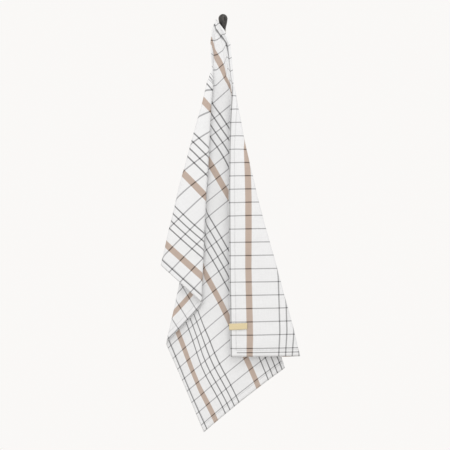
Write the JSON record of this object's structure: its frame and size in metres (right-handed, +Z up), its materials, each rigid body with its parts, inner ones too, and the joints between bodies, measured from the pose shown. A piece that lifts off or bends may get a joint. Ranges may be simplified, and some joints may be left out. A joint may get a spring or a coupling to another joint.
{
  "type": "tea towel and hook",
  "caption": "Checked cotton tea towel hanging in folds by one corner from a drop-shaped wall hook.",
  "frame": {"origin": "centre of the hook's flat back face, on the wall plane", "axes": "+Z up, +Y into the wall, -Y towards the room, +X to the right as seen from the room"},
  "size_m": [0.2829, 0.0409, 0.8543],
  "materials": {
    "towel_cotton": "woven cotton, matte",
    "label_tape": "woven tape",
    "loop_tape": "cotton tape",
    "hook_dark": "dark, slightly rough"
  },
  "bodies": {
    "root": {"towel": "towel_cotton", "label": "label_tape", "loop": "loop_tape", "hook": "hook_dark"}
  },
  "joints": []
}
